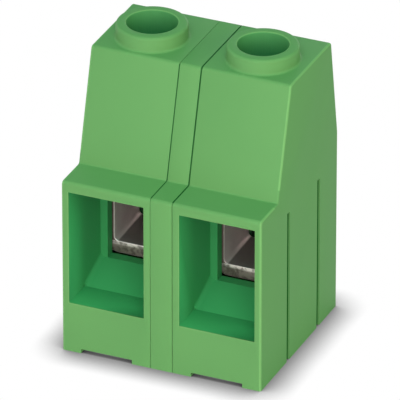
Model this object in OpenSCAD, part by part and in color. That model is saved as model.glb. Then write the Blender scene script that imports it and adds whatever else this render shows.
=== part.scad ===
// Two-pole rising-clamp terminal block for a printed circuit board.
// X runs along the row of poles, Y from the wire entries to the back, Z up from the board.
// The origin is the centre of the footprint, on the board's surface.

/* [Block] */
// Width of one pole's housing
module_w = 10.16; // [9.9:0.02:12]
// Width of the spacer plate's place between the housings
spacer_w = 2.54; // [1.6:0.02:5.08]
// Depth of the block from front to back
body_d = 20.5; // [20:0.1:24]
// Height of the front face, up to the shoulder
shoulder_z = 20.25; // [19.9:0.05:22]
// Depth of the shoulder behind the front face
shoulder_d = 4.4; // [3.4:0.1:5]
// Height of the top face
top_z = 32.6; // [32:0.1:36]
// Front edge of the top face, behind the front face
top_front_d = 7.8; // [7:0.1:8.2]
// Back edge of the top face, behind the front face
top_back_d = 18.6; // [16.6:0.1:19.8]
// Height where the back starts to lean forward
back_break_z = 21.1; // [18:0.1:28]
// Radius on the outer edges of the side outline
edge_r = 0.45; // [0.2:0.05:0.8]

/* [Driver collar] */
// Outer radius of the collar round the driver hole
collar_r = 3.86; // [3.6:0.02:4.3]
// Height of the collar above the top face
collar_h = 1.75; // [0.8:0.05:3]
// Radius of the driver hole
driver_r = 2.75; // [2.2:0.05:2.9]
// Radius on the collar's rim
rim_r = 0.35; // [0.15:0.05:0.5]
// Thickness of the roof that keeps the screw in
roof_t = 1.8; // [1.2:0.1:2.4]

/* [Wire entry] */
// Width of the wire entry at the front face
entry_w = 8.65; // [7.4:0.05:8.8]
// Height of the wire entry's floor
entry_z = 5.78; // [4.8:0.02:6.6]
// Height of the wire entry's roof
entry_top_z = 19.05; // [18:0.05:19.3]
// Depth of the wire entry's straight part
entry_straight_d = 4.1; // [2:0.1:5]
// Depth of the wire entry, up to the inner frame
entry_d = 7.6; // [7:0.1:8]
// How far each side wall comes in over the sloped part
entry_draft = 0.3; // [0.1:0.05:0.5]
// Radius in the corners of the sloped part
entry_r = 0.6; // [0.2:0.05:1]
// Width of the window in the inner frame
window_w = 6.4; // [5:0.1:6.8]
// Height of the window's top edge
window_top_z = 18.4; // [17:0.1:18.5]
// Thickness of the inner frame
frame_t = 1.15; // [0.8:0.05:1.4]

/* [Clamp] */
// Thickness of the strip that the tension sleeve is folded from
strip_t = 1.4; // [0.9:0.05:1.45]
// Inner width of the tension sleeve
sleeve_w = 5.95; // [5:0.05:6.1]
// Length of the tension sleeve along the wire
sleeve_len = 6.6; // [5.6:0.1:6.8]
// Inside radius of the sleeve's bends
bend_r = 0.5; // [0.2:0.05:0.8]
// Height of the wire space with the clamp open
clamp_open = 5.8; // [4.6:0.05:6]
// Width left under the bar when the clamp is fully closed
clamp_left = 0.05; // [0.05:0.05:0.5]
// Radius of the clamp screw's thread
screw_r = 2; // [1.5:0.05:2.3]
// Radius of the clamp screw's head
head_r = 3.1; // [2.95:0.05:3.2]
// Height of the clamp screw's head
head_h = 2.7; // [2:0.1:3.2]
// Width of the driver slot
slot_w = 1; // [0.6:0.1:1.4]
// Depth of the driver slot
slot_depth = 1.3; // [0.8:0.1:1.6]

/* [Current bar] */
// Thickness of the current bar
bar_t = 1.4; // [1:0.05:1.6]
// Height of the current bar's clamping face
bar_z = 15; // [14.4:0.05:15.4]
// Height of the bar's foot above the board
foot_z = 1.4; // [1:0.1:2]
// Thickness of the housing's back wall
back_t = 1.2; // [0.8:0.1:1.6]

/* [Solder pins] */
// Side of the square solder pins
pin_w = 1.2; // [0.8:0.05:1.4]
// Length of the pins below the board's upper face
pin_len = 4.5; // [3:0.1:6]
// Distance of the front pin behind the front face
pin_front_d = 7.71; // [7.2:0.01:8.4]
// Distance between the two pins of a pole
pin_row = 7.62; // [5.08:0.02:8]

/* [Base] */
// Height of the channel under the housing
standoff = 0.5; // [0.3:0.05:1]
// Width of the channel under the housing
channel_w = 5.9; // [4:0.1:7]
// Thickness of the walls that are cored from below
wall_t = 1; // [0.8:0.05:1.3]

/* [Side joints] */
// Width of the joint grooves
groove_w = 0.75; // [0.5:0.05:1]
// Depth of the joint grooves
groove_depth = 0.3; // [0.2:0.05:0.4]
// Height of the grooves' upper end
groove_top_z = 17.8; // [14:0.1:19]
// Distance of the front groove behind the front face
groove_front_d = 7.3; // [6:0.1:8]
// Distance of the back groove behind the front face
groove_back_d = 15.4; // [14:0.1:17]
// Gap between the spacer and the housing on its left
seam_left = 0.03; // [0.02:0.01:0.15]
// Gap between the spacer and the housing on its right
seam_right = 0.04; // [0.02:0.01:0.15]

/* [Clearances] */
// Gap between the sleeve and its pocket at the sides
slide_gap = 0.1; // [0.08:0.01:0.15]
// Gap between the sleeve and its pocket at front and back
end_gap = 0.15; // [0.1:0.01:0.25]
// Gap between the open sleeve and the sill of the window
sill_gap = 0.08; // [0.05:0.01:0.15]
// Gap between the current bar's edges and the bends of the sleeve
bar_gap = 0.05; // [0.03:0.01:0.15]
// Gap between the thread and the sleeve's hole
thread_gap = 0.03; // [0.01:0.01:0.08]
// Gap between pieces that rest on each other
seat_gap = 0.05; // [0.02:0.01:0.1]

/* [Hidden] */
$fn = 64;

eps = 0.01;
pitch = module_w + spacer_w;
pole_x = pitch / 2;

// Wire space and sleeve, from the bar down and up
sleeve_outer_w = sleeve_w + 2 * strip_t;
bend_outer_r = bend_r + strip_t;
lap_slit = 0.05;
lap_end = 0.6;
sleeve_z = bar_z - clamp_open - strip_t;
lower_lap_z = 2 * strip_t + clamp_open + bar_t + seat_gap;
sleeve_h = lower_lap_z + lap_slit + strip_t;
travel = clamp_open - clamp_left;
sill_z = sleeve_z - sill_gap;
entry_roof_drop = 0.3;

// Pocket for the sleeve, and the screw's axis at its middle
pocket_w = sleeve_outer_w + 2 * slide_gap;
pocket_d = entry_d + frame_t;
pocket_len = sleeve_len + 2 * end_gap;
axis_d = pocket_d + pocket_len / 2;
pocket_top_z = sleeve_z + sleeve_h + travel + end_gap;

// Screw and its chamber
tip_z = bar_z + bar_t + thread_gap;
head_z = pocket_top_z + end_gap;
head_gap = 0.2;
neck_h = 0.7;
neck_cut = 0.35;
neck_r = screw_r - neck_cut;
tip_chamfer = 0.5;
chamber_top_z = top_z - roof_t;

// Current bar, which clears the sleeve's bends, and its slot
bar_w = sleeve_w - 2 * (bend_r + bar_gap);
bar_play = 0.1;
barb_reach = 0.3;
barb_root = 0.2;
foot_margin = 0.7;
bar_d = pocket_d + end_gap;
bar_back_d = body_d - back_t;
bar_bend_r = 0.5;
slot_half = bar_w / 2 + barb_reach;
slot_top_z = bar_z + bar_t + bar_play;
foot_front_d = pin_front_d - pin_w / 2 - foot_margin;
foot_gap = 0.3;
barb_z = [5, 8, 11];
barb_h = 0.9;

// Solder pins
pin_head = 0.3;
pin_point = 0.7;
pin_taper = 0.45;

// Collar
root_r = 0.9 * rim_r;
collar_sink = 1;

// Joint tongues fit the grooves with play
tongue_play = 0.08;
tongue_drop = 0.3;

// Corner rounding: points of an arc of radius r that replaces corner b of the path a, b, c
function unit(v) = v / norm(v);
function turned(v, a) = [v.x * cos(a) - v.y * sin(a), v.x * sin(a) + v.y * cos(a)];
function round_corner(a, b, c, r, steps) =
    let (
        u = unit(a - b),
        w = unit(c - b),
        half = acos(u * w) / 2,
        centre = b + unit(u + w) * r / sin(half),
        first = b + u * r / tan(half) - centre,
        last = b + w * r / tan(half) - centre,
        turn = (180 - 2 * half) * sign(cross(first, last))
    )
    [for (i = [0:steps]) centre + turned(first, turn * i / steps)];

// A closed outline of [x, y, radius] corners, with each radius above 0 as an arc
function rounded(corners, steps = 6) =
    let (n = len(corners))
    [
        for (i = [0:n - 1])
            let (
                a = corners[(i + n - 1) % n],
                b = corners[i],
                c = corners[(i + 1) % n]
            )
            each b.z > 0
                ? round_corner([a.x, a.y], [b.x, b.y], [c.x, c.y], b.z, steps)
                : [[b.x, b.y]]
    ];

// A plate whose outline lies in depth and height, centred on X = 0
module side_plate(width, corners, steps = 6) {
    translate([-width / 2, 0, 0])
        rotate([90, 0, 90])
            linear_extrude(width)
                polygon(rounded(corners, steps));
}

// A plate whose outline lies in X and height, running back from depth d
module front_plate(d, depth, corners, steps = 6) {
    translate([0, d + depth, 0])
        rotate([90, 0, 0])
            linear_extrude(depth)
                polygon(rounded(corners, steps));
}

// A box centred on X = 0, given by its depth and height limits
module slot_box(width, d0, d1, z0, z1) {
    translate([-width / 2, d0, z0]) cube([width, d1 - d0, z1 - z0]);
}

// Pole coordinates: X from the pole's middle, depth from the front face, height from the board
module at_pole(side) {
    translate([side * pole_x, -body_d / 2, 0]) children();
}

// Side outline that the housings and the spacer share
block_outline = [
    [0, 0, 0],
    [0, shoulder_z, edge_r],
    [shoulder_d, shoulder_z, edge_r / 2],
    [top_front_d, top_z, edge_r],
    [top_back_d, top_z, edge_r],
    [body_d, back_break_z, edge_r],
    [body_d, 0, 0]
];

// Grooves in the right side, open at the board
module joint_grooves(side_x) {
    for (d = [groove_front_d, groove_back_d])
        translate([side_x - groove_depth, d - groove_w / 2, -eps])
            cube([groove_depth + eps, groove_w, groove_top_z + eps]);
}

// Tongues on the left side that slide up into the next piece's grooves
module joint_tongues(side_x, reach) {
    tongue_w = groove_w - 2 * tongue_play;
    for (d = [groove_front_d, groove_back_d])
        translate([side_x - reach, d - tongue_w / 2, 0])
            cube([reach + eps, tongue_w, groove_top_z - tongue_drop]);
}

// Raised collar round the driver hole, with a rounded rim and a small root fillet
module collar() {
    rim_z = top_z + collar_h;
    translate([0, axis_d, 0])
        rotate_extrude()
            polygon(rounded([
                [0, top_z - collar_sink, 0],
                [collar_r + rim_r, top_z - collar_sink, 0],
                [collar_r + rim_r, top_z, 0],
                [collar_r, top_z, root_r],
                [collar_r, rim_z, rim_r],
                [0, rim_z, 0]
            ]));
}

// Thin slice of the sloped part that ends at depth d, with round corners
module entry_slice(d, half, z0, z1) {
    for (x = [entry_r - half, half - entry_r], z = [z0 + entry_r, z1 - entry_r])
        translate([x, d, z])
            rotate([90, 0, 0])
                cylinder(r = entry_r, h = eps, $fn = 32);
}

// Wire entry: a straight mouth, a sloped part with round corners, and the window
module wire_entry() {
    half = entry_w / 2;
    slot_box(entry_w, -eps, entry_straight_d, entry_z, entry_top_z);
    hull() {
        entry_slice(entry_straight_d, half, entry_z, entry_top_z);
        entry_slice(entry_d, half - entry_draft, sill_z, entry_top_z - entry_roof_drop);
    }
    slot_box(window_w, entry_d - 0.1, pocket_d + eps, sill_z, window_top_z);
}

// Pocket for the sleeve, slot for the current bar and chamber for the screw's head
module clamp_space() {
    slot_box(pocket_w, pocket_d, pocket_d + pocket_len, -eps, pocket_top_z);
    slot_box(2 * slot_half, pocket_d + pocket_len - eps, bar_back_d, -eps, slot_top_z);
    slot_box(2 * slot_half, foot_front_d - foot_gap, pocket_d + eps, -eps, foot_z + bar_t + pin_head + bar_play);
    translate([0, axis_d, pocket_top_z - eps])
        cylinder(r = head_r + head_gap, h = chamber_top_z - pocket_top_z + eps);
    translate([0, axis_d, chamber_top_z - eps])
        cylinder(r = driver_r, h = roof_t + collar_h + 1);
}

// Space cored out under the wire entry, and the channel along the base
module base_relief() {
    slot_box(module_w - 2 * wall_t, wall_t, entry_d, -eps, entry_z - wall_t);
    slot_box(channel_w, -eps, body_d + eps, -eps, standoff);
}

module housing(side) {
    color("mediumseagreen")
        at_pole(side)
            difference() {
                union() {
                    side_plate(module_w, block_outline);
                    collar();
                    joint_tongues(-module_w / 2, groove_depth - seam_right);
                }
                wire_entry();
                clamp_space();
                base_relief();
                joint_grooves(module_w / 2);
            }
}

module left_housing() {
    housing(-1);
}

module right_housing() {
    housing(1);
}

// Plate of the block's outline that widens the spacing of the poles
module pitch_spacer() {
    plate_w = spacer_w - seam_left - seam_right;
    middle_x = (seam_left - seam_right) / 2;
    color("seagreen")
        translate([middle_x, -body_d / 2, 0])
            difference() {
                union() {
                    side_plate(plate_w, block_outline);
                    joint_tongues(-plate_w / 2, groove_depth);
                }
                joint_grooves(plate_w / 2);
            }
}

// Sleeve folded from one strip, whose ends overlap on top and carry the thread
module tension_sleeve(side) {
    half = sleeve_outer_w / 2;
    lap_x = half - strip_t - bend_r - slide_gap;
    color("slategray")
        at_pole(side)
            translate([0, 0, sleeve_z])
                difference() {
                    front_plate(axis_d - sleeve_len / 2, sleeve_len, [
                        [lap_x, lower_lap_z, 0],
                        [-half, lower_lap_z, bend_outer_r],
                        [-half, 0, bend_outer_r],
                        [half, 0, bend_outer_r],
                        [half, sleeve_h, bend_outer_r],
                        [-half + lap_end, sleeve_h, 0],
                        [-half + lap_end, sleeve_h - strip_t, 0],
                        [half - strip_t, sleeve_h - strip_t, bend_r],
                        [half - strip_t, strip_t, bend_r],
                        [-half + strip_t, strip_t, bend_r],
                        [-half + strip_t, lower_lap_z - strip_t, bend_r],
                        [lap_x, lower_lap_z - strip_t, 0]
                    ]);
                    translate([0, axis_d, lower_lap_z - strip_t - 1])
                        cylinder(r = screw_r + thread_gap, h = 2 * strip_t + lap_slit + 2);
                }
}

module left_tension_sleeve() {
    tension_sleeve(-1);
}

module right_tension_sleeve() {
    tension_sleeve(1);
}

// Slotted cheese-head screw whose chamfered tip bears on the current bar
module clamp_screw(side) {
    head_edge = 0.25;
    color("gainsboro")
        at_pole(side)
            translate([0, axis_d, 0])
                difference() {
                    rotate_extrude()
                        polygon([
                            [0, tip_z],
                            [screw_r - tip_chamfer, tip_z],
                            [screw_r, tip_z + tip_chamfer],
                            [screw_r, head_z - neck_h],
                            [neck_r, head_z - neck_h + (screw_r - neck_r)],
                            [neck_r, head_z],
                            [head_r - head_edge, head_z],
                            [head_r, head_z + head_edge],
                            [head_r, head_z + head_h - head_edge],
                            [head_r - head_edge, head_z + head_h],
                            [0, head_z + head_h]
                        ]);
                    translate([-head_r - 1, -slot_w / 2, head_z + head_h - slot_depth])
                        cube([2 * head_r + 2, slot_w, slot_depth + 1]);
                }
}

module left_clamp_screw() {
    clamp_screw(-1);
}

module right_clamp_screw() {
    clamp_screw(1);
}

// Barbs on the edges of the bar's upright leg, which bite into the housing's slot
module leg_barbs() {
    for (z = barb_z, s = [-1, 1])
        translate([0, bar_back_d, z])
            rotate([90, 0, 0])
                linear_extrude(bar_t)
                    polygon([
                        [s * (bar_w / 2 - barb_root), 0],
                        [s * slot_half, 0],
                        [s * bar_w / 2, barb_h],
                        [s * (bar_w / 2 - barb_root), barb_h]
                    ]);
}

// Folded copper strip: clamping face inside the sleeve, upright leg behind it, foot under it
module current_bar(side) {
    bar_top_z = bar_z + bar_t;
    outer_r = bar_bend_r + bar_t;
    color("peru")
        at_pole(side)
            difference() {
                union() {
                    side_plate(bar_w, [
                        [bar_d, bar_top_z, 0],
                        [bar_back_d, bar_top_z, outer_r],
                        [bar_back_d, foot_z, outer_r],
                        [foot_front_d, foot_z, 0],
                        [foot_front_d, foot_z + bar_t, 0],
                        [bar_back_d - bar_t, foot_z + bar_t, bar_bend_r],
                        [bar_back_d - bar_t, bar_z, bar_bend_r],
                        [bar_d, bar_z, 0]
                    ]);
                    leg_barbs();
                }
                for (d = [pin_front_d, pin_front_d + pin_row])
                    slot_box(pin_w, d - pin_w / 2, d + pin_w / 2, foot_z - 1, foot_z + bar_t + 1);
            }
}

module left_current_bar() {
    current_bar(-1);
}

module right_current_bar() {
    current_bar(1);
}

// Outline of a square pin with a tapered point, seen from any of its four sides
module pin_outline() {
    half = pin_w / 2;
    point = half * pin_taper;
    polygon([
        [-point, -pin_len],
        [point, -pin_len],
        [half, -pin_len + pin_point],
        [half, foot_z + bar_t + pin_head],
        [-half, foot_z + bar_t + pin_head],
        [-half, -pin_len + pin_point]
    ]);
}

// Square pin pressed through the bar's foot
module solder_pin(side, d) {
    color("lightgray")
        at_pole(side)
            translate([0, d, 0])
                intersection() {
                    translate([0, pin_w / 2, 0])
                        rotate([90, 0, 0])
                            linear_extrude(pin_w)
                                pin_outline();
                    translate([-pin_w / 2, 0, 0])
                        rotate([90, 0, 90])
                            linear_extrude(pin_w)
                                pin_outline();
                }
}

module left_front_pin() {
    solder_pin(-1, pin_front_d);
}

module left_rear_pin() {
    solder_pin(-1, pin_front_d + pin_row);
}

module right_front_pin() {
    solder_pin(1, pin_front_d);
}

module right_rear_pin() {
    solder_pin(1, pin_front_d + pin_row);
}

left_housing();
right_housing();
pitch_spacer();
left_tension_sleeve();
right_tension_sleeve();
left_clamp_screw();
right_clamp_screw();
left_current_bar();
right_current_bar();
left_front_pin();
left_rear_pin();
right_front_pin();
right_rear_pin();
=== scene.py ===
"""Two-pole board-mount screw terminal: finishes, fine edges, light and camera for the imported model."""
import math

import bpy
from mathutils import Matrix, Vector

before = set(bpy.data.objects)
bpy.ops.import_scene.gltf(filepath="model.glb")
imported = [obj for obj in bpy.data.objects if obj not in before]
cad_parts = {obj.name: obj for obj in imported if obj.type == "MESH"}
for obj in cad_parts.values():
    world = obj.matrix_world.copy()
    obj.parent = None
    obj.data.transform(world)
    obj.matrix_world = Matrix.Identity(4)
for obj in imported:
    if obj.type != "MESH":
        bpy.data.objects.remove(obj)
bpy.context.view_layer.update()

MM = 0.001
SIDES = ("left", "right")

# Camera: where it stands round the block, in degrees, how large the block shows, and the
# nearest and farthest things that it sees, in metres
CAMERA_AZIMUTH = 23.59
CAMERA_ELEVATION = 28.25
CAMERA_DISTANCE = 900 * MM
CAMERA_CLIP = (0.01, 50.0)
AIM = Vector((0.16, -0.40, 15.62)) * MM
LENS_MM = 766.5
SENSOR_MM = 36.0

# Stage. The floor shows its contact shadow this far round the block, and this deep
FLOOR_SIZE = 3.0
SHADOW_REACH = 3.7 * MM
SHADOW_DEPTH = 2.0
WHITE = "#FFFFFF"
FLOOR_WHITE = "#E6E6E6"
ROOM_COLOUR = "#B9FBD2"
ROOM_LIGHT = 0.25

# Soft boxes: name, azimuth and elevation in degrees, watts, colour
LAMP_DISTANCE = 0.6
LAMP_SIZE = 0.4
LAMPS = (
    ("front", 0, 8, 1.8, "#FFDDE8"),
    ("front_right", 30, 15, 1.5, "#FFDCE0"),
    ("right", 75, 12, 0.78, "#FFF9C6"),
    ("above_front", 20, 50, 1.45, "#B4FFF6"),
    ("above", 0, 85, 0.42, "#ACFFE6"),
    ("left", -100, 12, 0.7, WHITE),
    ("behind", 180, 12, 0.7, WHITE),
)

# Rounding that a moulding tool or a press leaves on an edge
HOUSING_EDGE = 0.2 * MM
SHEARED_EDGE = 0.12 * MM
SCREW_EDGE = 0.08 * MM
EDGE_SEGMENTS = 3
SHARP_ANGLE = math.radians(35)
CREASE_ANGLE = math.radians(24)
FLAT_ANGLE = math.radians(0.5)
JOIN_DISTANCE = 0.001 * MM

# A moulding's edges take these shares of the width above: all of it along the outer sides of the
# block, part of it round the collars' rims, along the seams beside the spacer and round the wire
# entries, and none elsewhere. A seam has one share along its whole length. Edges with less than
# the least share stay square
SEAM_LEFT = 0.25
SEAM_RIGHT = 0.35
ENTRY_EDGE = 0.25
RIM_EDGE = 0.6
LEAST_SHARE = 0.01

# Places on the block. X runs along the row of poles, Y from front to back, Z up
SEAM_X = 1.27 * MM
SEAM_BAND = 0.2 * MM
POLE_X = 6.35 * MM
SIDE_X = 11.38 * MM
FRONT_Y = -10.25 * MM
FRONT_SKIN_Y = FRONT_Y + 0.05 * MM
SEAM_OPEN_Y = FRONT_Y + 0.3 * MM
FOOT_Z = 1.0 * MM
TOP_Z = 32.6 * MM
UNDER_TOP_Z = TOP_Z - 0.1 * MM
BEND_Y = -5.85 * MM
BEND_Z = 20.7 * MM
BEND_REACH = 1.0 * MM
COLLAR_FOOT_RADIUS = 4.4 * MM
COLLAR_FOOT_Z = TOP_Z + 0.5 * MM
RIM_Z = 34.3 * MM
RIM_EDGE_Z = RIM_Z - 0.1 * MM

# The driver hole, the wire entry, and the pocket behind it that the sleeve slides in
HOLE_RADIUS = 2.8 * MM
HOLE_Y = 1.95 * MM
ENTRY_HALF_WIDTH = 4.5 * MM
ENTRY_FRONT_Y = FRONT_Y + 0.1 * MM
ENTRY_BACK_Y = 9.5 * MM
ENTRY_FLOOR_Z = 5.6 * MM
ENTRY_ROOF_Z = 19.25 * MM
POCKET_HALF_WIDTH = 4.7 * MM
POCKET_FRONT_Y = -1.5 * MM
POCKET_BACK_Y = 8.2 * MM
POCKET_TOP_Z = 30.9 * MM

# The joint grooves and tongues on the sides
JOINT_HALF_DEPTH = 8.0 * MM
JOINT_TOP_Z = 18.5 * MM
GROOVE_FLOOR_X = 11.13 * MM
GROOVE_FLOOR_BAND = 0.1 * MM
GROOVE_MIDDLE_Y = 1.1 * MM
GROOVE_HALF_SPACING = 4.05 * MM
GROOVE_HALF_WIDTH = 0.45 * MM

# The sleeve's floor, from its underside to its upper face
SLEEVE_BOTTOM_Z = 7.8 * MM
SLEEVE_FLOOR_Z = 9.2 * MM

# Finishes and painted light change over the soft end's length.
# NO_LIMIT is lower than any place on the block
SOFT_END = 0.1 * MM
NO_LIMIT = -1.0

# Polyamide greens: on the eroded faces; deeper, as painted shade, on the entry and hole walls;
# paler, as painted highlight, on outer corners; darker, as painted shade, along open seams, in
# the joint grooves, in the sleeve's pocket and down the driver holes. The hole share is how
# strong a hole's painted shade grows, as a share of the painted shade in the sleeve's pocket
BODY_GREENS = ("#699C5F", "#6B9E60")
CORE_SHADE_GREEN = "#3C9759"
CORNER_HIGHLIGHT_GREEN = "#7BAE6C"
SEAM_SHADE_GREEN = "#2A6632"
GROOVE_SHADE_GREEN = "#1F6B28"
POCKET_SHADE_GREEN = "#1C3F27"
HOLE_SHADE_SHARE = 0.6

# The spacer comes from another shot of the moulding machine, so its changes of tone lie
# elsewhere than the housings', by this much in metres
HOUSING_SHIFT = (0.0, 0.0, 0.0)
SPACER_SHIFT = (0.03, 0.01, 0.02)


# ---------------------------------------------------------------- small tools

def srgb(code):
    """A colour written as an sRGB hex value, as linear red, green, blue and alpha."""
    parts = [int(code[i:i + 2], 16) / 255 for i in (1, 3, 5)]
    linear = [p / 12.92 if p <= 0.04045 else ((p + 0.055) / 1.055) ** 2.4 for p in parts]
    return (*linear, 1.0)


def add(tree, kind, inputs=None, stops=(), **settings):
    """Adds a node. inputs maps a socket's name or number to a value, to another socket, or to a
    node, of which it takes the first output. stops are a colour ramp's, as (place, hex colour).

    By number, Map Range takes its value at 0, the range from which it maps at 1 and 2 and the
    range to which it maps at 3 and 4. Mix takes its factor at 0, plain numbers at 2 and 3, and
    colours at 6 and 7, which it gives out at 2."""
    made = tree.nodes.new(kind)
    for name, value in settings.items():
        setattr(made, name, value)
    for key, value in (inputs or {}).items():
        if isinstance(value, bpy.types.Node):
            value = value.outputs[0]
        if isinstance(value, bpy.types.NodeSocket):
            tree.links.new(value, made.inputs[key])
        else:
            made.inputs[key].default_value = value
    for i, (place, code) in enumerate(stops):
        ramp = made.color_ramp.elements
        # A new ramp has its first and last stops already
        stop = ramp[i] if i in (0, len(stops) - 1) else ramp.new(place)
        stop.position = place
        stop.color = srgb(code)
    return made


def new_material(name):
    """A material without nodes, and the tree that its nodes go in."""
    material = bpy.data.materials.new(name)
    material.use_nodes = True
    material.node_tree.nodes.clear()
    return material, material.node_tree


def bearing(azimuth, elevation):
    """The way from the block towards a place given by azimuth and elevation in degrees."""
    a = math.radians(azimuth)
    e = math.radians(elevation)
    return Vector((math.sin(a) * math.cos(e), -math.cos(a) * math.cos(e), math.sin(e)))


def put_facing_block(name, data, way, distance):
    """Adds a camera or lamp at a distance from the block, turned towards it."""
    thing = bpy.data.objects.new(name, data)
    bpy.context.scene.collection.objects.link(thing)
    thing.location = AIM + way * distance
    thing.rotation_euler = way.to_track_quat("Z", "Y").to_euler()
    return thing


# ---------------------------------------------------------------- where finishes and painted light change

def step_between(tree, value, low, high):
    """1 where value is between low and high, with soft ends, else 0."""
    rise = add(tree, "ShaderNodeMapRange", {0: value, 1: low, 2: low + SOFT_END})
    fall = add(tree, "ShaderNodeMapRange",
               {0: value, 1: high - SOFT_END, 2: high, 3: 1.0, 4: 0.0})
    return add(tree, "ShaderNodeMath", {0: rise, 1: fall}, operation="MULTIPLY")


def from_pole(tree, axes):
    """Distances from the middle plane of a pole, and from the axis of its screw."""
    side = add(tree, "ShaderNodeMath", {0: axes}, operation="ABSOLUTE")
    off = add(tree, "ShaderNodeMath", {0: side, 1: POLE_X}, operation="SUBTRACT")
    across = add(tree, "ShaderNodeMath", {0: off}, operation="ABSOLUTE")
    along = add(tree, "ShaderNodeMath", {0: axes.outputs[1], 1: HOLE_Y}, operation="SUBTRACT")
    spot = add(tree, "ShaderNodeCombineXYZ", {0: off, 1: along})
    reach = add(tree, "ShaderNodeVectorMath", {0: spot}, operation="LENGTH")
    return across, reach.outputs["Value"]


def inside_box(tree, axes, across, half_width, depths, heights):
    """1 inside a box round the middle plane of each pole, else 0."""
    within = step_between(tree, across, NO_LIMIT, half_width)
    deep = step_between(tree, axes.outputs[1], *depths)
    high = step_between(tree, axes.outputs[2], *heights)
    flat = add(tree, "ShaderNodeMath", {0: within, 1: deep}, operation="MULTIPLY")
    return add(tree, "ShaderNodeMath", {0: flat, 1: high}, operation="MULTIPLY")


def inside_cores(tree, axes):
    """1 on the walls of the wire entries and the driver holes, which take painted shade, else 0."""
    across, reach = from_pole(tree, axes)
    entry = inside_box(tree, axes, across, ENTRY_HALF_WIDTH,
                       (ENTRY_FRONT_Y, ENTRY_BACK_Y), (ENTRY_FLOOR_Z, ENTRY_ROOF_Z))
    round_part = step_between(tree, reach, NO_LIMIT, HOLE_RADIUS)
    below = add(tree, "ShaderNodeMath", {0: axes.outputs[2], 1: RIM_Z}, operation="LESS_THAN")
    hole = add(tree, "ShaderNodeMath", {0: round_part, 1: below}, operation="MULTIPLY")
    return add(tree, "ShaderNodeMath", {0: entry, 1: hole}, operation="MAXIMUM")


def shade_in_pocket_and_holes(tree, axes):
    """How deep the painted shade lies on the walls of the sleeve's pocket, and down the driver holes,
    darker towards a hole's bottom.
    """
    across, reach = from_pole(tree, axes)
    pocket = inside_box(tree, axes, across, POCKET_HALF_WIDTH,
                        (POCKET_FRONT_Y, POCKET_BACK_Y), (ENTRY_FLOOR_Z, POCKET_TOP_Z))
    round_part = step_between(tree, reach, NO_LIMIT, HOLE_RADIUS)
    down = add(tree, "ShaderNodeMapRange",
               {0: axes.outputs[2], 1: RIM_Z, 2: POCKET_TOP_Z, 4: HOLE_SHADE_SHARE})
    hole = add(tree, "ShaderNodeMath", {0: round_part, 1: down}, operation="MULTIPLY")
    return add(tree, "ShaderNodeMath", {0: pocket, 1: hole}, operation="MAXIMUM")


def in_joint_grooves(tree, axes):
    """1 on the floors of the joint grooves in the right side, where painted shade goes, else 0."""
    floor = add(tree, "ShaderNodeMath", {0: axes, 1: GROOVE_FLOOR_X, 2: GROOVE_FLOOR_BAND},
                operation="COMPARE")
    row = add(tree, "ShaderNodeMath", {0: axes.outputs[1], 1: GROOVE_MIDDLE_Y},
              operation="SUBTRACT")
    apart = add(tree, "ShaderNodeMath", {0: row}, operation="ABSOLUTE")
    strip = add(tree, "ShaderNodeMath", {0: apart, 1: GROOVE_HALF_SPACING, 2: GROOVE_HALF_WIDTH},
                operation="COMPARE")
    low = add(tree, "ShaderNodeMath", {0: axes.outputs[2], 1: JOINT_TOP_Z},
              operation="LESS_THAN")
    lane = add(tree, "ShaderNodeMath", {0: strip, 1: low}, operation="MULTIPLY")
    return add(tree, "ShaderNodeMath", {0: floor, 1: lane}, operation="MULTIPLY")


def along_seams(tree, axes):
    """1 on the edges beside the spacer, and 1 on those of them that take painted shade:
    not in front, nor at the left on the top."""
    side = add(tree, "ShaderNodeMath", {0: axes}, operation="ABSOLUTE")
    seam = add(tree, "ShaderNodeMath", {0: side, 1: SEAM_X, 2: SEAM_BAND}, operation="COMPARE")
    behind = add(tree, "ShaderNodeMath", {0: axes.outputs[1], 1: SEAM_OPEN_Y},
                 operation="GREATER_THAN")
    below = add(tree, "ShaderNodeMath", {0: axes.outputs[2], 1: UNDER_TOP_Z},
                operation="LESS_THAN")
    right = add(tree, "ShaderNodeMath", {0: axes, 1: 0.0}, operation="GREATER_THAN")
    off_top_left = add(tree, "ShaderNodeMath", {0: below, 1: right}, operation="MAXIMUM")
    shade_zone = add(tree, "ShaderNodeMath", {0: behind, 1: off_top_left},
                      operation="MULTIPLY")
    dark = add(tree, "ShaderNodeMath", {0: seam, 1: shade_zone}, operation="MULTIPLY")
    return seam, dark


def outside_corners(tree, axes, core):
    """1 where outer corners take painted highlight; 0 in the inner corners under the slope and round the
    collars and in the cores.
    """
    back = add(tree, "ShaderNodeMath", {0: axes.outputs[1], 1: BEND_Y}, operation="SUBTRACT")
    up = add(tree, "ShaderNodeMath", {0: axes.outputs[2], 1: BEND_Z}, operation="SUBTRACT")
    bend = add(tree, "ShaderNodeCombineXYZ", {0: back, 1: up})
    away = add(tree, "ShaderNodeVectorMath", {0: bend}, operation="LENGTH")
    past_bend = add(tree, "ShaderNodeMath", {0: away.outputs["Value"], 1: BEND_REACH},
                    operation="GREATER_THAN")
    reach = from_pole(tree, axes)[1]
    beyond = add(tree, "ShaderNodeMath", {0: reach, 1: COLLAR_FOOT_RADIUS},
                 operation="GREATER_THAN")
    above = add(tree, "ShaderNodeMath", {0: axes.outputs[2], 1: COLLAR_FOOT_Z},
                operation="GREATER_THAN")
    off_collar_foot = add(tree, "ShaderNodeMath", {0: beyond, 1: above}, operation="MAXIMUM")
    both = add(tree, "ShaderNodeMath", {0: off_collar_foot, 1: past_bend},
               operation="MULTIPLY")
    return add(tree, "ShaderNodeMath", {0: both, 1: core}, operation="SUBTRACT", use_clamp=True)


# ---------------------------------------------------------------- materials

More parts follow.
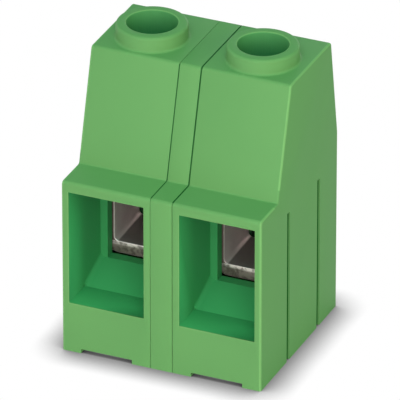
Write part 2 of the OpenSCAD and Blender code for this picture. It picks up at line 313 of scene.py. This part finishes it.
def moulded_polyamide(name, shift, on_edges):
    """Injection-moulded polyamide: satin, evenly coloured, with the faint grain of an eroded tool.
    The walls of entries and holes are painted a deeper green, as painted shade. On
    edges, outer corners are painted paler, as painted highlight, and open seams darker, as
    painted shade."""
    material, tree = new_material(name)
    place = add(tree, "ShaderNodeTexCoord").outputs["Object"]
    axes = add(tree, "ShaderNodeSeparateXYZ", {0: place})
    moved = add(tree, "ShaderNodeMapping", {0: place, 1: shift})
    # Slow changes of tone where the melt cooled at different speeds, about 7 mm across
    cloud = add(tree, "ShaderNodeTexNoise", {0: moved, "Scale": 1 / (7 * MM), "Detail": 2.0})
    tone = add(tree, "ShaderNodeValToRGB", {0: cloud},
               stops=((0.3, BODY_GREENS[0]), (0.7, BODY_GREENS[1]))).outputs[0]
    # Painted shade: the walls of the entries and holes take a deeper green
    core = inside_cores(tree, axes)
    layers = []
    if on_edges:
        # Painted highlight on outer corners, painted shade along the open seams
        seam, seam_shade = along_seams(tree, axes)
        corner_highlight = add(tree, "ShaderNodeMath", {0: outside_corners(tree, axes, core), 1: seam},
                     operation="SUBTRACT", use_clamp=True)
        layers += [(corner_highlight, CORNER_HIGHLIGHT_GREEN), (seam_shade, SEAM_SHADE_GREEN)]
    # Painted shade in the narrow joint grooves, on the entry and hole walls, in the sleeve's pocket and
    # down the driver holes
    layers += [(in_joint_grooves(tree, axes), GROOVE_SHADE_GREEN), (core, CORE_SHADE_GREEN),
               (shade_in_pocket_and_holes(tree, axes), POCKET_SHADE_GREEN)]
    for cover, green in layers:
        tone = add(tree, "ShaderNodeMix", {0: cover, 6: tone, 7: srgb(green)},
                   data_type="RGBA").outputs[2]
    # Eroded grain: 0.03 mm in a real tool, drawn at 0.2 mm so that it shows
    grain = add(tree, "ShaderNodeTexNoise", {0: moved, "Scale": 1 / (0.2 * MM), "Detail": 3.0})
    relief = add(tree, "ShaderNodeBump",
                 {"Height": grain, "Strength": 0.25, "Distance": 0.012 * MM})
    satin = add(tree, "ShaderNodeMapRange", {0: cloud, 3: 0.42, 4: 0.5})
    shader = add(tree, "ShaderNodeBsdfPrincipled", {
        "Base Color": tone,
        "Roughness": satin,
        "IOR": 1.53,
        "Specular IOR Level": 0.05,
        "Normal": relief,
    })
    add(tree, "ShaderNodeOutputMaterial", {0: shader})
    return material


def plate(tree, colour, roughness, height, strength):
    """Ends a plated metal's nodes: its colour, its gloss and its fine relief."""
    relief = add(tree, "ShaderNodeBump",
                 {"Height": height, "Strength": strength, "Distance": 0.01 * MM})
    shader = add(tree, "ShaderNodeBsdfPrincipled", {
        "Base Color": colour,
        "Metallic": 1.0,
        "Roughness": roughness,
        "Normal": relief,
    })
    add(tree, "ShaderNodeOutputMaterial", {0: shader})


def zinc_plated_strip(name):
    """Zinc-plated cold-rolled strip, folded: a dull grey metal with faint rolling lines.
    Its sheared ends, front and back, are torn by the tool and carry painted shade, a painted highlight
    band and painted shadow; its up-facing floor is painted darker, as painted reflection."""
    material, tree = new_material(name)
    place = add(tree, "ShaderNodeTexCoord").outputs["Object"]
    axes = add(tree, "ShaderNodeSeparateXYZ", {0: place})
    normal = add(tree, "ShaderNodeNewGeometry").outputs["Normal"]
    facing = add(tree, "ShaderNodeSeparateXYZ", {0: normal})
    patches = add(tree, "ShaderNodeTexNoise", {0: place, "Scale": 1 / (1.6 * MM), "Detail": 3.0})
    tone = add(tree, "ShaderNodeValToRGB", {0: patches}, stops=((0.3, "#E8E5E1"), (0.7, "#F1EEEA")))
    # The floor is rubbed dull by the wires it has lifted
    # Painted reflection: the up-facing floor is painted darker, for the dark inside of the clamp that it
    # mirrors
    lying = add(tree, "ShaderNodeMapRange", {0: facing.outputs[2], 1: 0.9, 2: 0.99})
    floor_shade = add(tree, "ShaderNodeMix", {0: lying, 6: tone, 7: srgb("#96938F")},
                 data_type="RGBA")
    # A sheared end is painted darker towards the bottom, with a pale band of painted highlight under the
    # floor's upper edge and painted shadow above it on the walls' front faces; torn blotches lie over it
    height = add(tree, "ShaderNodeMapRange",
                 {0: axes.outputs[2], 1: SLEEVE_BOTTOM_Z, 2: SLEEVE_FLOOR_Z})
    cut_painted_light = add(tree, "ShaderNodeValToRGB", {0: height},
              stops=((0.0, "#8A847B"), (0.66, "#9A948B"), (0.8, "#E6E2DC"), (0.98, "#EAE6E0"),
                     (1.0, "#625D56")))
    tears = add(tree, "ShaderNodeTexNoise", {0: place, "Scale": 1 / (0.5 * MM), "Detail": 3.0})
    torn = add(tree, "ShaderNodeMapRange", {0: tears, 1: 0.45, 2: 0.62, 4: 0.7})
    end = add(tree, "ShaderNodeMix", {0: torn, 6: cut_painted_light, 7: srgb("#5C5750")}, data_type="RGBA")
    turned = add(tree, "ShaderNodeMath", {0: facing.outputs[1]}, operation="ABSOLUTE")
    sheared = add(tree, "ShaderNodeMapRange", {0: turned, 1: 0.85, 2: 0.98})
    colour = add(tree, "ShaderNodeMix",
                 {0: sheared, 6: floor_shade.outputs[2], 7: end.outputs[2]}, data_type="RGBA")
    # Rolling lines run along the wire, about 0.15 mm apart
    drawn = add(tree, "ShaderNodeMapping", {0: place, 3: (1.0, 0.06, 1.0)})
    lines = add(tree, "ShaderNodeTexNoise", {0: drawn, "Scale": 1 / (0.15 * MM), "Detail": 2.0})
    roughness = add(tree, "ShaderNodeMapRange", {0: patches, 3: 0.55, 4: 0.68})
    plate(tree, colour.outputs[2], roughness, lines, 0.3)
    return material


def zinc_plated_screw(name):
    """Zinc-plated turned steel: brighter than the strip, with fine turning rings."""
    material, tree = new_material(name)
    place = add(tree, "ShaderNodeTexCoord").outputs["Object"]
    # Turning rings, drawn 0.12 mm apart so that they show
    round_axis = add(tree, "ShaderNodeMapping", {0: place, 3: (0.05, 0.05, 1.0)})
    rings = add(tree, "ShaderNodeTexNoise",
                {0: round_axis, "Scale": 1 / (0.12 * MM), "Detail": 2.0})
    tone = add(tree, "ShaderNodeValToRGB", {0: rings}, stops=((0.3, "#B9B5AC"), (0.7, "#CBC8C0")))
    roughness = add(tree, "ShaderNodeMapRange", {0: rings, 3: 0.22, 4: 0.32})
    plate(tree, tone, roughness, rings, 0.3)
    return material


def tin_plated_copper(name):
    """Tin-plated copper: dull silver, slightly warm, with a crystalline mottle 0.5 mm across."""
    material, tree = new_material(name)
    place = add(tree, "ShaderNodeTexCoord").outputs["Object"]
    mottle = add(tree, "ShaderNodeTexNoise", {0: place, "Scale": 1 / (0.5 * MM), "Detail": 4.0})
    tone = add(tree, "ShaderNodeValToRGB", {0: mottle}, stops=((0.3, "#BDB8AE"), (0.7, "#D2CEC5")))
    roughness = add(tree, "ShaderNodeMapRange", {0: mottle, 3: 0.34, 4: 0.46})
    plate(tree, tone, roughness, mottle, 0.2)
    return material


def seen_directly(tree):
    """1 for what the eye sees, also in mirrors and through clear pieces, else 0."""
    path = add(tree, "ShaderNodeLightPath")
    direct = add(tree, "ShaderNodeMath",
                 {0: path.outputs["Is Camera Ray"], 1: path.outputs["Is Glossy Ray"]},
                 operation="MAXIMUM")
    return add(tree, "ShaderNodeMath", {0: direct, 1: path.outputs["Is Transmission Ray"]},
               operation="MAXIMUM")


def studio_floor(name):
    """White table top: it is seen as white paper with the soft contact shadow, and it lights the
    block from below as paper does."""
    material, tree = new_material(name)
    paper = add(tree, "ShaderNodeBsdfDiffuse", {"Color": srgb(FLOOR_WHITE)})
    covered = add(tree, "ShaderNodeAmbientOcclusion",
                  {"Color": srgb(WHITE), "Distance": SHADOW_REACH})
    shade = add(tree, "ShaderNodeMath", {0: covered.outputs["AO"], 1: SHADOW_DEPTH},
                operation="POWER")
    glow = add(tree, "ShaderNodeEmission", {"Color": srgb(WHITE), "Strength": shade})
    both = add(tree, "ShaderNodeMixShader", {0: seen_directly(tree), 1: paper, 2: glow})
    add(tree, "ShaderNodeOutputMaterial", {0: both})
    return material


# ---------------------------------------------------------------- pieces

def edge_weights():
    """Node group that gives each sharp edge of a moulding its share of the rounding."""
    group = bpy.data.node_groups.new("edge_weights", "GeometryNodeTree")
    group.interface.new_socket("Geometry", in_out="INPUT", socket_type="NodeSocketGeometry")
    group.interface.new_socket("Geometry", in_out="OUTPUT", socket_type="NodeSocketGeometry")
    shape = add(group, "NodeGroupInput")
    bend = add(group, "GeometryNodeInputMeshEdgeAngle")
    axes = add(group, "ShaderNodeSeparateXYZ", {0: add(group, "GeometryNodeInputPosition")})
    side = add(group, "ShaderNodeMath", {0: axes}, operation="ABSOLUTE")
    # The outer sides of the block, without the grooves and tongues on them
    outer = add(group, "ShaderNodeMath", {0: side, 1: SIDE_X}, operation="GREATER_THAN")
    middle = add(group, "ShaderNodeMath", {0: axes.outputs[1], 1: 0.0, 2: JOINT_HALF_DEPTH},
                 operation="COMPARE")
    low = add(group, "ShaderNodeMath", {0: axes.outputs[2], 1: JOINT_TOP_Z},
              operation="LESS_THAN")
    joint = add(group, "ShaderNodeMath", {0: middle, 1: low}, operation="MULTIPLY")
    outline = add(group, "ShaderNodeMath", {0: outer, 1: joint}, operation="SUBTRACT",
                  use_clamp=True)
    # The wire entries in front and the collars' rims
    front = add(group, "ShaderNodeMath", {0: axes.outputs[1], 1: FRONT_SKIN_Y},
                operation="LESS_THAN")
    entry = add(group, "ShaderNodeMapRange", {0: front, 4: ENTRY_EDGE})
    collar = add(group, "ShaderNodeMath", {0: axes.outputs[2], 1: RIM_EDGE_Z},
                 operation="GREATER_THAN")
    rim = add(group, "ShaderNodeMix", {0: collar, 2: entry, 3: RIM_EDGE})
    plain = add(group, "ShaderNodeMix", {0: outline, 2: rim, 3: 1.0})
    # The seams beside the spacer
    seam = add(group, "ShaderNodeMath", {0: side, 1: SEAM_X, 2: SEAM_BAND}, operation="COMPARE")
    right = add(group, "ShaderNodeMath", {0: axes, 1: 0.0}, operation="GREATER_THAN")
    seam_share = add(group, "ShaderNodeMapRange", {0: right, 3: SEAM_LEFT, 4: SEAM_RIGHT})
    share = add(group, "ShaderNodeMix", {0: seam, 2: plain, 3: seam_share})
    # Nothing is rounded at the feet
    above_feet = add(group, "ShaderNodeMath", {0: axes.outputs[2], 1: FOOT_Z},
                     operation="GREATER_THAN")
    sharp = add(group, "ShaderNodeMath", {0: bend, 1: SHARP_ANGLE}, operation="GREATER_THAN")
    counts = add(group, "ShaderNodeMath", {0: above_feet, 1: sharp}, operation="MULTIPLY")
    weight = add(group, "ShaderNodeMath", {0: share, 1: counts}, operation="MULTIPLY")
    weighed = add(group, "GeometryNodeStoreNamedAttribute",
                  {"Geometry": shape, "Name": "bevel_weight_edge", "Value": weight},
                  data_type="FLOAT", domain="EDGE")
    # Corners that stay unrounded keep their crease
    square = add(group, "ShaderNodeMath", {0: weight, 1: LEAST_SHARE}, operation="LESS_THAN")
    bent = add(group, "ShaderNodeMath", {0: bend, 1: CREASE_ANGLE}, operation="GREATER_THAN")
    crease = add(group, "ShaderNodeMath", {0: square, 1: bent}, operation="MULTIPLY")
    creased = add(group, "GeometryNodeStoreNamedAttribute",
                  {"Geometry": weighed, "Name": "sharp_edge", "Value": crease},
                  data_type="BOOLEAN", domain="EDGE")
    add(group, "NodeGroupOutput", {0: creased})
    return group


def finish_edges(piece, width, weights, edge_slot):
    """Joins the imported faces and rounds the sharp edges, as the tool or press leaves them."""
    joined = piece.modifiers.new("join", "WELD")
    joined.merge_threshold = JOIN_DISTANCE
    flat = piece.modifiers.new("flat", "DECIMATE")
    flat.decimate_type = "DISSOLVE"
    flat.angle_limit = FLAT_ANGLE
    if weights:
        piece.modifiers.new("weights", "NODES").node_group = weights
    bevel = piece.modifiers.new("edge", "BEVEL")
    bevel.width = width
    bevel.segments = EDGE_SEGMENTS
    bevel.limit_method = "WEIGHT" if weights else "ANGLE"
    bevel.angle_limit = SHARP_ANGLE
    bevel.loop_slide = False
    bevel.harden_normals = True
    bevel.use_clamp_overlap = weights is None
    bevel.material = edge_slot


def dress(node, materials, width, weights=None):
    """Gives a piece its finish. A second material, if any, goes on the rounded edges."""
    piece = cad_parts[node]
    piece.data.materials.clear()
    for material in materials:
        piece.data.materials.append(material)
    piece.data.polygons.foreach_set("use_smooth", [True] * len(piece.data.polygons))
    finish_edges(piece, width, weights, len(materials) - 1)


def green_pair(name, shift):
    """The moulded green for a piece's faces, and the one for its rounded edges."""
    return (moulded_polyamide(name, shift, False),
            moulded_polyamide(name + "_edge", shift, True))


def dress_all():
    """Gives every piece its finish and its rounded edges."""
    weights = edge_weights()
    housing_greens = green_pair("polyamide_green_moulded", HOUSING_SHIFT)
    spacer_greens = green_pair("polyamide_green_spacer", SPACER_SHIFT)
    strip = zinc_plated_strip("steel_strip_zinc_plated")
    turned = zinc_plated_screw("steel_turned_zinc_plated")
    tinned = tin_plated_copper("copper_strip_tin_plated")
    tinned_wire = tin_plated_copper("copper_wire_tin_plated")
    dress("pitch_spacer", spacer_greens, HOUSING_EDGE, weights)
    for side in SIDES:
        dress(side + "_housing", housing_greens, HOUSING_EDGE, weights)
        dress(side + "_tension_sleeve", (strip,), SHEARED_EDGE)
        dress(side + "_clamp_screw", (turned,), SCREW_EDGE)
        dress(side + "_current_bar", (tinned,), SHEARED_EDGE)
        dress(side + "_front_pin", (tinned_wire,), SCREW_EDGE)
        dress(side + "_rear_pin", (tinned_wire,), SCREW_EDGE)


# ---------------------------------------------------------------- stage

def place_camera():
    """The camera, from the front and right above the block."""
    lens = bpy.data.cameras.new("studio_camera")
    lens.lens = LENS_MM
    lens.sensor_width = SENSOR_MM
    lens.clip_start, lens.clip_end = CAMERA_CLIP
    way = bearing(CAMERA_AZIMUTH, CAMERA_ELEVATION)
    camera = put_facing_block("studio_camera", lens, way, CAMERA_DISTANCE)
    bpy.context.scene.camera = camera


def lay_floor():
    """The table top, at the height of the board that the block is soldered to."""
    bpy.ops.mesh.primitive_plane_add(size=FLOOR_SIZE, location=(0, 0, 0))
    floor = bpy.context.object
    floor.name = "table_top"
    floor.data.materials.append(studio_floor("paper_white_table"))


def light_world():
    """Even room light, behind which the eye sees plain white."""
    world = bpy.data.worlds.new("studio")
    bpy.context.scene.world = world
    world.use_nodes = True
    tree = world.node_tree
    tree.nodes.clear()
    room = add(tree, "ShaderNodeBackground", {"Color": srgb(ROOM_COLOUR), "Strength": ROOM_LIGHT})
    white = add(tree, "ShaderNodeBackground", {"Color": srgb(WHITE), "Strength": 1.0})
    both = add(tree, "ShaderNodeMixShader", {0: seen_directly(tree), 1: room, 2: white})
    add(tree, "ShaderNodeOutputWorld", {0: both})


def hang_lamps():
    """Square soft lights round the block, warm in front and cooler above."""
    for name, azimuth, elevation, power, colour in LAMPS:
        lamp = bpy.data.lights.new(name, "AREA")
        lamp.shape = "SQUARE"
        lamp.size = LAMP_SIZE
        lamp.energy = power
        lamp.color = srgb(colour)[:3]
        put_facing_block(name, lamp, bearing(azimuth, elevation), LAMP_DISTANCE)


place_camera()
dress_all()
lay_floor()
light_world()
hang_lamps()

bpy.context.scene.view_settings.view_transform = "Standard"
